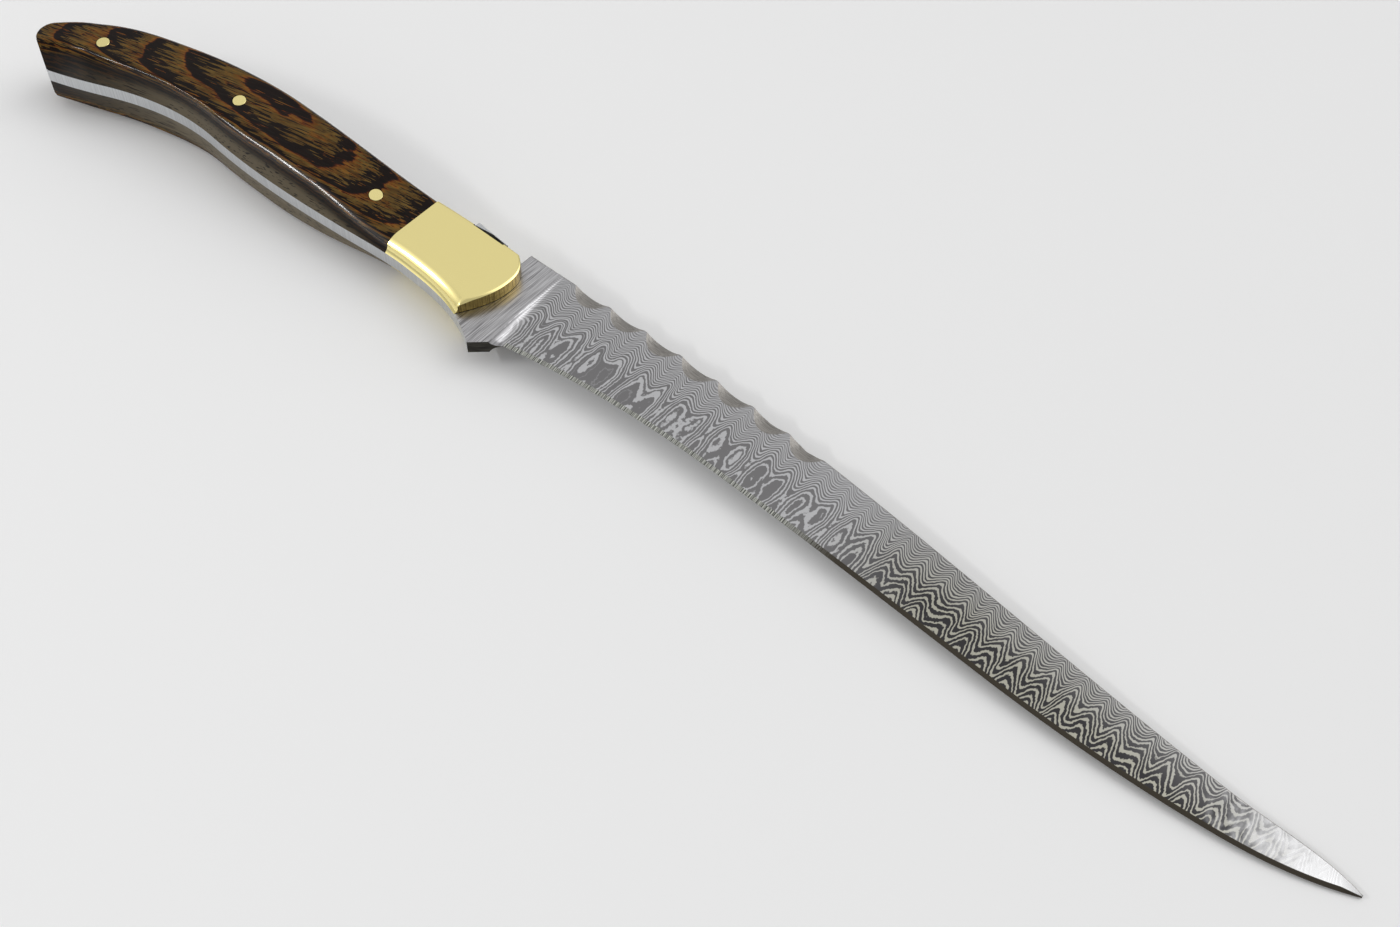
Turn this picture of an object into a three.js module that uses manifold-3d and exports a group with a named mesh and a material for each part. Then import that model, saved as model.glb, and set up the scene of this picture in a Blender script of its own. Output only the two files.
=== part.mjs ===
// Ham knife: a full-tang slicing knife with a ladder-pattern blade, brass bolsters and wenge scales.
// Millimetres. +X runs to the tip, +Y to the spine and +Z out of the near side. While the pieces are
// made, the shoulder, which is the rear corner of the ricasso's spine, is at X = 0 and Y = 0, and the
// middle plane of the tang is at Z = 0.
import * as THREE from 'three';
import { mergeVertices } from 'three/addons/utils/BufferGeometryUtils.js';
import Module from 'manifold-3d';

const wasm = await Module();
wasm.setup();

// Overall lengths, both measured from the shoulder
const BLADE_LENGTH = 206.5;
const HANDLE_LENGTH = 124.9;
const BOLSTER_LENGTH = 23.1;

// Thickness of the forged bar, which the tang and the ricasso keep, and what grinding leaves of it
const TANG_THICKNESS = 3.4;
const TIP_THICKNESS = 1.0;
const BEVEL_THICKNESS = 0.7;
const BEVEL_WIDTH = 0.9;
const EDGE_THICKNESS = 0.1;

// Blade spine: it rises to a crest and falls in a straight run to the point
const SHOULDER_SLOPE = 0.07;
const CREST = { from_shoulder: 66, rise: 3.1 };
const SPINE_FALL = { from_tip: 28.5, drop: 1, slope: -0.02 };
const POINT = { drop: 1.7, height: 0.3, spine_slope: -0.22, edge_slope: 0.5 };

// Blade edge: a recurve ahead of the heel, then a long shallow belly
const EDGE_START = { from_shoulder: 11.8, depth: 19.8, slope: 0.25 };
const RECURVE = { from_shoulder: 64, depth: 13.2, slope: 0.025 };
const BELLY = { from_tip: 76, depth: 12.75 };
const SWEEP = { from_tip: 26.5, depth: 9.5, slope: 0.14 };

// Ricasso and heel: the heel drops below the grip as a finger stop
const RICASSO_LENGTH = 7.2;
const PLUNGE_LEAN = 2.4;
const PLUNGE_RADIUS = 2.2;
const HEEL = { from_shoulder: 6.5, depth: 25, slope: -0.62 };

// Scallops filed along both corners of the blade's spine
const SCALLOP_COUNT = 7;
const SCALLOP_START = 16.85;
const SCALLOP_PITCH = 9.6;
const SCALLOP_CHORD = 8.9;
const SCALLOP_DEPTH = 1.2;
const SCALLOP_TILT = THREE.MathUtils.degToRad(31);

// Handle spine, as depths below the shoulder
const NOTCH = { depth: 2.75, slope: 0.02 };
const JOINT_SPINE = { depth: 3.55, slope: 0.1 };
const BACK = { from_joint: 39, depth: 6, slope: 0.03 };
const SHOULDER_OF_POMMEL = { from_butt: 30.1, depth: 11.7, slope: 0.29 };
const POMMEL = { from_butt: 9.9, depth: 20, slope: 0.68 };
const POMMEL_END = { depth: 28, slope: 1 };

// Handle belly, as depths below the shoulder
const FINGER_GROOVE = { from_shoulder: 17, depth: 20.1 };
const GRIP_FRONT = { from_joint: 12, depth: 21.9, slope: 0.12 };
const PALM_SWELL = { from_joint: 52, depth: 24, slope: -0.05 };
const BEAK = { from_butt: 19.9, depth: 30.8, slope: 0.48 };
const BEAK_END = { height: 10.4, slope: 0.25 };

// Butt: a rounded corner over a short slanted end
const BUTT_RADIUS = 3.8;
const BUTT_CENTRE_DEPTH = 30.2;
const BUTT_SLANT = THREE.MathUtils.degToRad(25);
const BUTT_BACK_LEAN = THREE.MathUtils.degToRad(50);

// Handle section: height of the outer face over the tang, level on the land that the knife rests on
const BOLSTER_RISE = 3.3;
const LAND_RISE = 6.6;
const LAND = { from_joint: 35, length: 26 };
const BUTT_RISE = { rise: 4.7, slope: 0.06 };
const JOINT_RISE_SLOPE = -0.1;

// Handle section: how far the outer face is set in from the tang's outline
const JOINT_INSET = 0.9;
const GRIP_INSET = { from_joint: 24, inset: 2.6 };
const PALM_INSET = { from_joint: 57, inset: 1.6 };
const BEAK_INSET = { from_butt: 14.9, inset: 4.2, slope: -0.25 };
const BUTT_INSET = 4.2;
const SPINE_INSET = 1;
const FRONT_SPINE_INSET = 0.5;
const FLANK_HOLLOW = 0.3;

// Handle section: rounding of its long edges
const GRIP_RIDGE_ROUND = 0.4;
const BUTT_RIDGE_ROUND = 2.4;
const BOLSTER_ROLL = 4.2;
const SPINE_ROUND = 1.4;
const BOLSTER_SPINE_ROUND = 0.5;

// Bolster front: a curved wall that stands on the ricasso
const FRONT_SPINE = { depth: 3.3, reach: 0, slope: -1.6 };
const FRONT_NOSE = { depth: 10, reach: 3.6 };
const FRONT_BELLY = { depth: 21.8, reach: -0.7, slope: 0.6 };

// Thumb pad on the tang's spine, let into a pocket across both bolsters
const PAD_LENGTH = 8.6;
const PAD_FRONT = 4.3;
const PAD_REAR_HALF_WIDTH = 4;
const PAD_FRONT_HALF_WIDTH = 3.2;
const PAD_CHAMFER = 0.3;
const SEAT_REAR_DEPTH = 4.15;
const SEAT_FRONT_DEPTH = 3.8;
const SEAT_GAP = 0.12;

// Pins
const SCALE_PIN_DIAMETER = 3;
const BOLSTER_PIN_DIAMETER = 2.5;
const BOLSTER_PIN_DEPTH = 2;
const PIN_GAP = 0.12;
const FRONT_PIN = { from_joint: 10.1, depth: 13.1 };
const MIDDLE_PIN = { from_joint: 50.4, depth: 16.15 };
const BUTT_PIN = { from_butt: 14.7, depth: 24.9 };
const REAR_BOLSTER_PIN_FROM_JOINT = 5.5;
const FRONT_BOLSTER_PIN_FROM_SHOULDER = 5;

// Fineness of the curved surfaces
const BLADE_STEP = 3.4;
const PLUNGE_STEP = 0.5;
const HANDLE_STEP = 2.1;
const FACE_STEPS = 4;
const ROUND_STEPS = 5;
const CURVE_STEPS = 24;
const PIN_SIDES = 32;
const FILE_SIDES = 96;

// Reach of the cutting solids past the piece that they cut
const CUT_MARGIN = 20;

const JOINT = -BOLSTER_LENGTH;
const BUTT = -HANDLE_LENGTH;
const HALF_TANG = TANG_THICKNESS / 2;

const steel = { color: 0x8a8a8d, roughness: 0.35, metalness: 1 };
const brass = { color: 0xd8c878, roughness: 0.15, metalness: 1 };
const wenge = { color: 0x3b2817, roughness: 0.3, metalness: 0 };

// A smooth line through knots, each with a place, a value there and a slope there
function smoothLine(knots) {
  return (at) => {
    const last = knots.length - 1;
    if (at <= knots[0].at) return knots[0].value + knots[0].slope * (at - knots[0].at);
    if (at >= knots[last].at) return knots[last].value + knots[last].slope * (at - knots[last].at);
    const next = knots.findIndex((knot) => knot.at > at);
    const a = knots[next - 1];
    const b = knots[next];
    const run = b.at - a.at;
    const t = (at - a.at) / run;
    const start = (1 + 2 * t) * (1 - t) ** 2 * a.value + t * (1 - t) ** 2 * run * a.slope;
    const end = t * t * (3 - 2 * t) * b.value + t * t * (t - 1) * run * b.slope;
    return start + end;
  };
}

function knot(at, value, slope = 0) {
  return { at, value, slope };
}

const bladeSpine = smoothLine([
  knot(0, 0, SHOULDER_SLOPE),
  knot(CREST.from_shoulder, CREST.rise),
  knot(BLADE_LENGTH - SPINE_FALL.from_tip, -SPINE_FALL.drop, SPINE_FALL.slope),
  knot(BLADE_LENGTH, -POINT.drop + POINT.height / 2, POINT.spine_slope),
]);

const bladeEdge = smoothLine([
  knot(EDGE_START.from_shoulder, -EDGE_START.depth, EDGE_START.slope),
  knot(RECURVE.from_shoulder, -RECURVE.depth, RECURVE.slope),
  knot(BLADE_LENGTH - BELLY.from_tip, -BELLY.depth),
  knot(BLADE_LENGTH - SWEEP.from_tip, -SWEEP.depth, SWEEP.slope),
  knot(BLADE_LENGTH, -POINT.drop - POINT.height / 2, POINT.edge_slope),
]);

const handleSpine = smoothLine([
  knot(BUTT, -POMMEL_END.depth, POMMEL_END.slope),
  knot(BUTT + POMMEL.from_butt, -POMMEL.depth, POMMEL.slope),
  knot(BUTT + SHOULDER_OF_POMMEL.from_butt, -SHOULDER_OF_POMMEL.depth, SHOULDER_OF_POMMEL.slope),
  knot(JOINT - BACK.from_joint, -BACK.depth, BACK.slope),
  knot(JOINT, -JOINT_SPINE.depth, JOINT_SPINE.slope),
  knot(0, -NOTCH.depth, NOTCH.slope),
]);

const handleBelly = smoothLine([
  knot(BUTT, -POMMEL_END.depth - BEAK_END.height, BEAK_END.slope),
  knot(BUTT + BEAK.from_butt, -BEAK.depth, BEAK.slope),
  knot(JOINT - PALM_SWELL.from_joint, -PALM_SWELL.depth, PALM_SWELL.slope),
  knot(JOINT - GRIP_FRONT.from_joint, -GRIP_FRONT.depth, GRIP_FRONT.slope),
  knot(-FINGER_GROOVE.from_shoulder, -FINGER_GROOVE.depth),
  knot(HEEL.from_shoulder, -HEEL.depth, HEEL.slope),
]);

const outerRise = smoothLine([
  knot(BUTT, BUTT_RISE.rise, BUTT_RISE.slope),
  knot(JOINT - LAND.from_joint - LAND.length, LAND_RISE),
  knot(JOINT - LAND.from_joint, LAND_RISE),
  knot(JOINT, BOLSTER_RISE, JOINT_RISE_SLOPE),
]);

const bellyInset = smoothLine([
  knot(BUTT, BUTT_INSET),
  knot(BUTT + BEAK_INSET.from_butt, BEAK_INSET.inset, BEAK_INSET.slope),
  knot(JOINT - PALM_INSET.from_joint, PALM_INSET.inset),
  knot(JOINT - GRIP_INSET.from_joint, GRIP_INSET.inset),
  knot(JOINT, JOINT_INSET),
]);

const ridgeRound = smoothLine([
  knot(BUTT, BUTT_RIDGE_ROUND),
  knot(JOINT - PALM_INSET.from_joint, GRIP_RIDGE_ROUND),
  knot(JOINT, GRIP_RIDGE_ROUND),
]);

const spineInset = smoothLine([
  knot(JOINT, SPINE_INSET),
  knot(0, FRONT_SPINE_INSET),
]);

// Distance that the bolster's front wall reaches past the shoulder, by height along the wall
const bolsterFront = smoothLine([
  knot(-FRONT_BELLY.depth, FRONT_BELLY.reach, FRONT_BELLY.slope),
  knot(-FRONT_NOSE.depth, FRONT_NOSE.reach),
  knot(-FRONT_SPINE.depth, FRONT_SPINE.reach, FRONT_SPINE.slope),
]);

const seatHeight = smoothLine([
  knot(-PAD_FRONT - PAD_LENGTH, -SEAT_REAR_DEPTH, (SEAT_REAR_DEPTH - SEAT_FRONT_DEPTH) / PAD_LENGTH),
  knot(-PAD_FRONT, -SEAT_FRONT_DEPTH, (SEAT_REAR_DEPTH - SEAT_FRONT_DEPTH) / PAD_LENGTH),
]);

function steps(from, to, step) {
  const count = Math.max(1, Math.round(Math.abs(to - from) / step));
  return Array.from({ length: count + 1 }, (_, i) => from + ((to - from) * i) / count);
}

function solid(geometry) {
  const bare = geometry.clone();
  bare.deleteAttribute('normal');
  bare.deleteAttribute('uv');
  const merged = mergeVertices(bare);
  const mesh = new wasm.Mesh({
    numProp: 3,
    vertProperties: new Float32Array(merged.attributes.position.array),
    triVerts: new Uint32Array(merged.index.array),
  });
  return new wasm.Manifold(mesh);
}

// Closed solid through rings of points, each ring counter-clockwise as seen from +X
function loft(rings) {
  const size = rings[0].length;
  const index = [];
  for (let i = 0; i < rings.length - 1; i += 1) {
    for (let j = 0; j < size; j += 1) {
      const a = i * size + j;
      const b = i * size + ((j + 1) % size);
      index.push(a, b, b + size, a, b + size, a + size);
    }
  }
  const lastRing = (rings.length - 1) * size;
  const contour = (ring) => ring.map((point) => new THREE.Vector2(point.y, point.z));
  for (const [a, b, c] of THREE.ShapeUtils.triangulateShape(contour(rings[0]), [])) {
    index.push(a, c, b);
  }
  for (const [a, b, c] of THREE.ShapeUtils.triangulateShape(contour(rings.at(-1)), [])) {
    index.push(lastRing + a, lastRing + b, lastRing + c);
  }
  const geometry = new THREE.BufferGeometry().setFromPoints(rings.flat());
  geometry.setIndex(index);
  return solid(geometry);
}

// Plan outline in X and Y, extruded through a range of Z
function plate(outline, bottom, top) {
  const shape = new THREE.Shape(outline);
  const geometry = new THREE.ExtrudeGeometry(shape, { depth: top - bottom, bevelEnabled: false });
  return solid(geometry.translate(0, 0, bottom));
}

function rod(diameter, length, sides = PIN_SIDES) {
  return new THREE.CylinderGeometry(diameter / 2, diameter / 2, length, sides).rotateX(Math.PI / 2);
}

function pinAt(place, diameter, length) {
  return solid(rod(diameter, length).translate(place.x, place.y, 0));
}

function handleCentre(x) {
  return new THREE.Vector2(x, (handleSpine(x) + handleBelly(x)) / 2);
}

// Half the blade's thickness as ground: a wheel of the plunge radius runs from the plunge to the tip
function groundHalf(x, y, flatHalf) {
  const spine = bladeSpine(x);
  const share = (spine - y) / (spine - bladeLower(x));
  const past = x - RICASSO_LENGTH - PLUNGE_LEAN * share;
  if (past <= 0) return HALF_TANG;
  if (past >= PLUNGE_RADIUS) return Math.min(HALF_TANG, flatHalf);
  const climb = PLUNGE_RADIUS - Math.sqrt(PLUNGE_RADIUS ** 2 - (PLUNGE_RADIUS - past) ** 2);
  return Math.min(HALF_TANG, flatHalf + climb);
}

// Lower outline ahead of the shoulder: rear of the heel, end of the heel, then the edge
function bladeLower(x) {
  if (x <= HEEL.from_shoulder) return handleBelly(x);
  if (x >= EDGE_START.from_shoulder) return bladeEdge(x);
  const along = (x - HEEL.from_shoulder) / (EDGE_START.from_shoulder - HEEL.from_shoulder);
  return THREE.MathUtils.lerp(-HEEL.depth, -EDGE_START.depth, along);
}

function spineHalf(x) {
  return THREE.MathUtils.lerp(TANG_THICKNESS, TIP_THICKNESS, x / BLADE_LENGTH) / 2;
}

function bladeRing(x) {
  const spine = bladeSpine(x);
  const lower = bladeLower(x);
  const bevelTop = lower + Math.min(BEVEL_WIDTH, (spine - lower) / 3);
  const bevelHalf = Math.min(BEVEL_THICKNESS / 2, spineHalf(x));
  const near = [];
  for (let i = 0; i <= FACE_STEPS; i += 1) {
    const y = THREE.MathUtils.lerp(spine, bevelTop, i / FACE_STEPS);
    const flatHalf = THREE.MathUtils.lerp(spineHalf(x), bevelHalf, i / FACE_STEPS);
    near.push(new THREE.Vector3(x, y, groundHalf(x, y, flatHalf)));
  }
  near.push(new THREE.Vector3(x, lower, groundHalf(x, lower, EDGE_THICKNESS / 2)));
  const far = near.map((point) => new THREE.Vector3(point.x, point.y, -point.z)).reverse();
  return [...near, ...far];
}

function bladeStations() {
  const groundFrom = RICASSO_LENGTH + PLUNGE_LEAN + PLUNGE_RADIUS;
  const plungeEnd = Math.max(groundFrom, EDGE_START.from_shoulder + PLUNGE_STEP);
  const plungeStart = Math.min(RICASSO_LENGTH, HEEL.from_shoulder);
  const corners = [HEEL.from_shoulder, EDGE_START.from_shoulder];
  const fine = steps(plungeStart, plungeEnd, PLUNGE_STEP);
  const clear = fine.filter((x) => corners.every((corner) => Math.abs(corner - x) > PLUNGE_STEP / 4));
  const coarse = steps(plungeEnd, BLADE_LENGTH, BLADE_STEP).slice(1);
  const rear = steps(0, plungeStart, BLADE_STEP).slice(0, -1);
  return [...rear, ...clear, ...corners, ...coarse].sort((a, b) => a - b);
}

// Round file laid across a corner of the spine
function scallop(x, side) {
  const radius = (SCALLOP_CHORD ** 2 / 4 + SCALLOP_DEPTH ** 2) / (2 * SCALLOP_DEPTH);
  const length = CUT_MARGIN;
  const file = new THREE.CylinderGeometry(radius, radius, length, FILE_SIDES);
  file.rotateX(-side * SCALLOP_TILT);
  const out = new THREE.Vector3(0, Math.sin(SCALLOP_TILT), side * Math.cos(SCALLOP_TILT));
  const corner = new THREE.Vector3(x, bladeSpine(x), side * spineHalf(x));
  const centre = corner.addScaledVector(out, radius - SCALLOP_DEPTH);
  return solid(file.translate(centre.x, centre.y, centre.z));
}

// Everything ahead of the butt's rounded corner and slanted end
function buttTrim() {
  const centre = new THREE.Vector2(BUTT + BUTT_RADIUS, -BUTT_CENTRE_DEPTH);
  const reach = HANDLE_LENGTH + CUT_MARGIN;
  const endAngle = 1.5 * Math.PI - BUTT_SLANT;
  const backAngle = Math.PI - BUTT_BACK_LEAN;
  const corner = new THREE.ArcCurve(centre.x, centre.y, BUTT_RADIUS, backAngle, endAngle, false);
  const arc = corner.getPoints(CURVE_STEPS / 2);
  const endLine = new THREE.Vector2(Math.cos(BUTT_SLANT), -Math.sin(BUTT_SLANT));
  const backLine = new THREE.Vector2(Math.sin(BUTT_BACK_LEAN), Math.cos(BUTT_BACK_LEAN));
  const low = arc.at(-1).clone().addScaledVector(endLine, reach);
  const high = arc[0].clone().addScaledVector(backLine, reach);
  const front = Math.max(low.x, high.x);
  const outline = [...arc, low, new THREE.Vector2(front, low.y), new THREE.Vector2(front, high.y), high];
  const half = HALF_TANG + LAND_RISE + CUT_MARGIN;
  return plate(outline, -half, half);
}

function tangBlank() {
  const rootEnd = HEEL.from_shoulder / 2;
  const back = steps(0, BUTT, HANDLE_STEP).map((x) => new THREE.Vector2(x, handleSpine(x)));
  const front = steps(BUTT, rootEnd, HANDLE_STEP).map((x) => new THREE.Vector2(x, handleBelly(x)));
  const root = new THREE.Vector2(rootEnd, -NOTCH.depth);
  return plate([...front, root, ...back], -HALF_TANG, HALF_TANG);
}

function thumbPad() {
  const ring = (x, halfWidth) => {
    const bottom = seatHeight(x) + SEAT_GAP;
    const top = -NOTCH.depth;
    const chamfer = Math.min(PAD_CHAMFER, (top - bottom) / 2);
    const side = top - chamfer;
    const crown = halfWidth - chamfer;
    const outline = [[bottom, -halfWidth], [side, -halfWidth], [top, -crown], [top, crown], [side, halfWidth],
      [bottom, halfWidth]];
    return outline.map(([y, z]) => new THREE.Vector3(x, y, z));
  };
  const rear = -PAD_FRONT - PAD_LENGTH + SEAT_GAP;
  const front = -PAD_FRONT - SEAT_GAP;
  return loft([ring(rear, PAD_REAR_HALF_WIDTH), ring(front, PAD_FRONT_HALF_WIDTH)]);
}

// Rounded corner between two straight runs, as points on a quadratic curve
function roundCorner(from, corner, to) {
  return new THREE.QuadraticBezierCurve(from, corner, to).getPoints(ROUND_STEPS);
}

// Section of one side of the handle: belly edge, hollow flank, ridge, outer face, spine edge
function sideSection(x, bellyRound, spineRound) {
  const belly = new THREE.Vector2(handleBelly(x), 0);
  const spine = new THREE.Vector2(handleSpine(x), 0);
  const rise = x < JOINT ? outerRise(x) : BOLSTER_RISE;
  const ridge = new THREE.Vector2(belly.x + bellyInset(Math.min(x, JOINT)), rise);
  const shoulder = new THREE.Vector2(spine.x - spineInset(x), rise);
  const ridgeRun = Math.min(bellyRound, shoulder.x - spineRound - ridge.x);
  const hollow = belly.clone().lerp(ridge, 0.5).add(new THREE.Vector2(2 * FLANK_HOLLOW, 0));
  const flank = new THREE.QuadraticBezierCurve(belly, hollow, ridge);
  const flankEnd = 1 - Math.min(ridgeRun, rise / 2) / flank.getLength();
  const flankPoints = steps(0, flankEnd, flankEnd / ROUND_STEPS).map((t) => flank.getPoint(t));
  const ridgeFoot = flankPoints.pop();
  const ridgeHead = new THREE.Vector2(ridge.x + ridgeRun, rise);
  const shoulderHead = new THREE.Vector2(shoulder.x - spineRound, rise);
  const spineFlank = shoulder.distanceTo(spine);
  const shoulderFoot = shoulder.clone().lerp(spine, Math.min(spineRound, rise / 2) / spineFlank);
  return [...flankPoints, ...roundCorner(ridgeFoot, ridge, ridgeHead),
    ...roundCorner(shoulderHead, shoulder, shoulderFoot), spine];
}

function sideRing(x, side, bellyRound, spineRound) {
  const section = sideSection(x, bellyRound, spineRound);
  const points = section.map((point) => new THREE.Vector3(x, point.x, side * (HALF_TANG + point.y)));
  return side > 0 ? points.reverse() : points;
}

function scaleBlank(side) {
  const stations = steps(BUTT, JOINT, HANDLE_STEP);
  const rings = stations.map((x) => sideRing(x, side, ridgeRound(x), SPINE_ROUND));
  return loft(rings).intersect(buttTrim());
}

function bolsterBlank(side) {
  const stations = steps(JOINT, FRONT_NOSE.reach + HANDLE_STEP, HANDLE_STEP);
  const rings = stations.map((x) => sideRing(x, side, BOLSTER_ROLL, BOLSTER_SPINE_ROUND));
  const depths = steps(-HEEL.depth, 0, HEEL.depth / CURVE_STEPS);
  const wall = depths.map((y) => new THREE.Vector2(bolsterFront(y), y));
  const rear = JOINT - CUT_MARGIN;
  const outline = [new THREE.Vector2(rear, -HEEL.depth), ...wall, new THREE.Vector2(rear, 0)];
  const half = HALF_TANG + BOLSTER_RISE + CUT_MARGIN;
  return loft(rings).intersect(plate(outline, -half, half));
}

// Pocket that the thumb pad sits in
function seatCut() {
  const rear = -PAD_FRONT - PAD_LENGTH;
  const front = -PAD_FRONT;
  const outline = [new THREE.Vector2(rear, seatHeight(rear)), new THREE.Vector2(front, seatHeight(front)),
    new THREE.Vector2(front, CUT_MARGIN), new THREE.Vector2(rear, CUT_MARGIN)];
  const half = HALF_TANG + BOLSTER_RISE + CUT_MARGIN;
  return plate(outline, -half, half);
}

const scalePins = {
  scale_pin_front: new THREE.Vector2(JOINT - FRONT_PIN.from_joint, -FRONT_PIN.depth),
  scale_pin_middle: new THREE.Vector2(JOINT - MIDDLE_PIN.from_joint, -MIDDLE_PIN.depth),
  scale_pin_butt: new THREE.Vector2(BUTT + BUTT_PIN.from_butt, -BUTT_PIN.depth),
};
const bolsterPins = {
  bolster_pin_rear: handleCentre(JOINT + REAR_BOLSTER_PIN_FROM_JOINT),
  bolster_pin_front: handleCentre(-FRONT_BOLSTER_PIN_FROM_SHOULDER),
};

const scaleHoles = Object.values(scalePins).map((place) =>
  pinAt(place, SCALE_PIN_DIAMETER + 2 * PIN_GAP, 2 * (HALF_TANG + LAND_RISE + CUT_MARGIN)));
const bolsterPinLength = 2 * (HALF_TANG + BOLSTER_PIN_DEPTH);
const bolsterHoles = Object.values(bolsterPins).map((place) =>
  pinAt(place, BOLSTER_PIN_DIAMETER + 2 * PIN_GAP, bolsterPinLength + 2 * PIN_GAP));

function cutAll(body, cutters) {
  return cutters.reduce((rest, cutter) => rest.subtract(cutter), body);
}

function blade() {
  const tang = tangBlank().intersect(buttTrim()).add(thumbPad());
  const whole = loft(bladeStations().map(bladeRing)).add(tang);
  const centres = Array.from({ length: SCALLOP_COUNT }, (_, i) => SCALLOP_START + i * SCALLOP_PITCH);
  const files = centres.flatMap((x) => [scallop(x, 1), scallop(x, -1)]);
  return cutAll(whole, [...files, ...scaleHoles, ...bolsterHoles]);
}

// Scale pins are ground flush with the outer faces of both scales
function scalePin(place) {
  const length = 2 * (HALF_TANG + LAND_RISE + CUT_MARGIN);
  const grip = scaleBlank(1).add(tangBlank().intersect(buttTrim())).add(scaleBlank(-1));
  return pinAt(place, SCALE_PIN_DIAMETER, length).intersect(grip);
}

function piece(name, body, finish) {
  const { vertProperties, triVerts } = body.getMesh();
  const geometry = new THREE.BufferGeometry();
  geometry.setAttribute('position', new THREE.BufferAttribute(vertProperties, 3));
  geometry.setIndex(new THREE.BufferAttribute(triVerts, 1));
  geometry.computeVertexNormals();
  const mesh = new THREE.Mesh(geometry, new THREE.MeshStandardMaterial(finish));
  mesh.name = name;
  return mesh;
}

const knife = new THREE.Group();
knife.add(piece('blade', blade(), steel));
for (const [where, side] of [['near', 1], ['far', -1]]) {
  knife.add(piece(`bolster_${where}`, cutAll(bolsterBlank(side), [seatCut(), ...bolsterHoles]), brass));
  knife.add(piece(`scale_${where}`, cutAll(scaleBlank(side), scaleHoles), wenge));
}
for (const [name, place] of Object.entries(scalePins)) {
  knife.add(piece(name, scalePin(place), brass));
}
for (const [name, place] of Object.entries(bolsterPins)) {
  knife.add(piece(name, pinAt(place, BOLSTER_PIN_DIAMETER, bolsterPinLength), brass));
}

// The finished knife lies on its far side, with the origin under the middle of its box
const box = new THREE.Box3().setFromObject(knife);
const middle = box.getCenter(new THREE.Vector3());
knife.position.set(-middle.x, -middle.y, -box.min.z);

export default knife;
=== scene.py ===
import math
from functools import partial

import bmesh
import bpy
import numpy as np
from bpy.props import FloatProperty, FloatVectorProperty, IntProperty, PointerProperty
from mathutils import Matrix, Vector


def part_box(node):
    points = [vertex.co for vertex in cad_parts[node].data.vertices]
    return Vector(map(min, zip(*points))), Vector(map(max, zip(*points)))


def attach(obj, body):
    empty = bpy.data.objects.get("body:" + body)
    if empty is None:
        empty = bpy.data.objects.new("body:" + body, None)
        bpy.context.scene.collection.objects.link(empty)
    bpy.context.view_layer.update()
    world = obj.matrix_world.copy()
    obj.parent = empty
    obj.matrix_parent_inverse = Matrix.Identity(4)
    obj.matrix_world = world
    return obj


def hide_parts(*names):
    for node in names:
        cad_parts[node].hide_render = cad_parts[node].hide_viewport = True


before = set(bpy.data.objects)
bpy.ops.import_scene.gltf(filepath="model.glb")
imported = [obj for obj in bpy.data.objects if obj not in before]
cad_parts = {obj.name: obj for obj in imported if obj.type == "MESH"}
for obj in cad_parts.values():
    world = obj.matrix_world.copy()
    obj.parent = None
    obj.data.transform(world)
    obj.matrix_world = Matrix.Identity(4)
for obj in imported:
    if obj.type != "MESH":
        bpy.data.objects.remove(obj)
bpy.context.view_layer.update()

bl_info = {
    "name": "Ham knife",
    "version": (1, 0, 0),
    "blender": (4, 5, 0),
    "location": "3D View > Sidebar > Knife",
    "description": "Builds a full-tang ham knife with a patterned blade, brass bolsters and wenge scales",
    "category": "Object",
}

BODY = "root"
MM = 0.001

# Sizes in millimetres from the shoulder, which is the rear corner of the ricasso's spine:
# +X to the tip, +Y to the spine, +Z out of the near side, Z = 0 in the middle of the tang.
BLADE_LENGTH = 206.5
JOINT = -23.1
BUTT = -125.2
HALF_TANG = 1.7
HALF_TIP = 0.5
HALF_BEVEL = 0.35
HALF_EDGE = 0.05
BEVEL_WIDTH = 0.9
NOTCH_DEPTH = 2.75
HEEL_X = 6.5
HEEL_DEPTH = 25.0
EDGE_X = 11.8
EDGE_DEPTH = 19.8
RICASSO_LENGTH = 7.2
PLUNGE_LEAN = 2.4
PLUNGE_RADIUS = 2.2
SCALLOP_TILT = math.radians(22)
BUTT_RADIUS = 4.3
BUTT_CENTRE = np.array((BUTT + BUTT_RADIUS, -30.2))
BUTT_SLANT = math.radians(25)
BUTT_BACK_LEAN = math.radians(40)
BUTT_EASE = 0.25
FAN_START = -98
BOLSTER_RISE = 3.3
BOLSTER_ROLL = 3.3
BOLSTER_INSET = 0.9
BOLSTER_SPINE_ROUND = 0.5
FRONT_EASE_SPINE = 0.25
FRONT_TILT = math.radians(35)
# Height of the painted shade at the foot of the bolsters' front wall
GLUE_LINE = 0.15
SPINE_ROUND = 1.4
RIDGE_TILT = math.radians(45)
SPINE_TILT = math.radians(60)
FLANK_HOLLOW = 0.3
PAD_FRONT = -4.3
PAD_REAR = -12.9
PAD_CHAMFER = 0.3
PAD_TOP = -2.4
PAD_REAR_HALF = 4.4
PAD_FRONT_HALF = 3.8
SEAT_GAP = 0.12
PIN_PLACES = {
    "scale_pin_front": (-33.2, -13.1),
    "scale_pin_middle": (-73.5, -16.15),
    "scale_pin_butt": (-110.2, -24.9),
}
WELD = 0.004
SHARP = math.radians(28)
# Shares of the end face's width that the rolls take up at the butt
END_ROLL = 0.22
END_BACK = 0.03
END_BACK_ROLL = 0.05
NOTCH_ROWS = 6
SPINE_EASE = 0.05
LEAST_CROWN = 0.06
TIP_ZONE = 12
DRILL_REACH = 5
POCKET_HALF = 12
POCKET_TOP = 5

# Wood figure, in millimetres: ring order is RINGS_PER_MM * r + RING_CROWDING * r ** 2 at r from the centre
RING_CENTRE = (-67.0, -10.1)
RING_ASPECT = 2.75
RING_DROOP = 0.0068
RINGS_PER_MM = 0.038
RING_CROWDING = 0.0008
RING_THICKNESS = 0.9
GRAIN_TURN = math.radians(15)
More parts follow.
